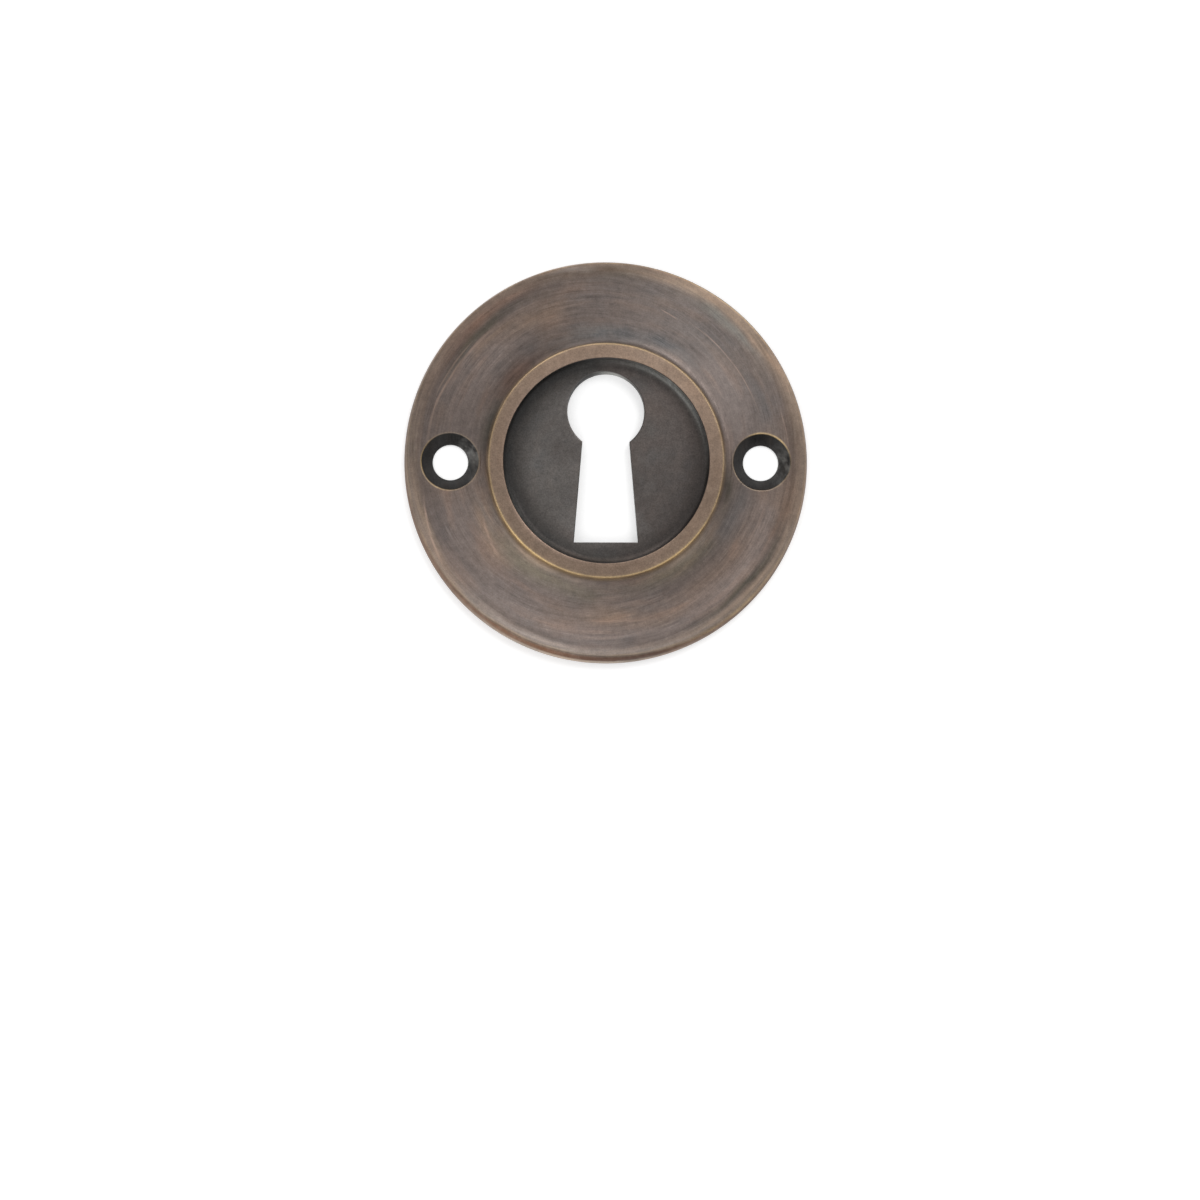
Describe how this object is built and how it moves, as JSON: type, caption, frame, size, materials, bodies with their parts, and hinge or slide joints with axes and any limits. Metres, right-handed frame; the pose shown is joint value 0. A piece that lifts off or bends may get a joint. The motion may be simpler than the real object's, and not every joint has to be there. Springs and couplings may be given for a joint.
{
  "type": "keyhole escutcheon",
  "caption": "Round solid brass keyhole cover plate in dark patina, with a flat face dished up to its rim, a raised collar, recessed floor and countersunk screw holes on a line.",
  "frame": {"origin": "middle of the flat back", "axes": "+Z out of the door or drawer front towards the key, +Y towards the keyhole's round end, screw holes along X"},
  "size_m": [0.0444, 0.0444, 0.0033],
  "materials": {
    "patinated_brass": "dark brown patina, brushed in rings, worn back to bright brass on the collar's edge"
  },
  "bodies": {
    "root": {"escutcheon": "patinated_brass"}
  },
  "joints": []
}
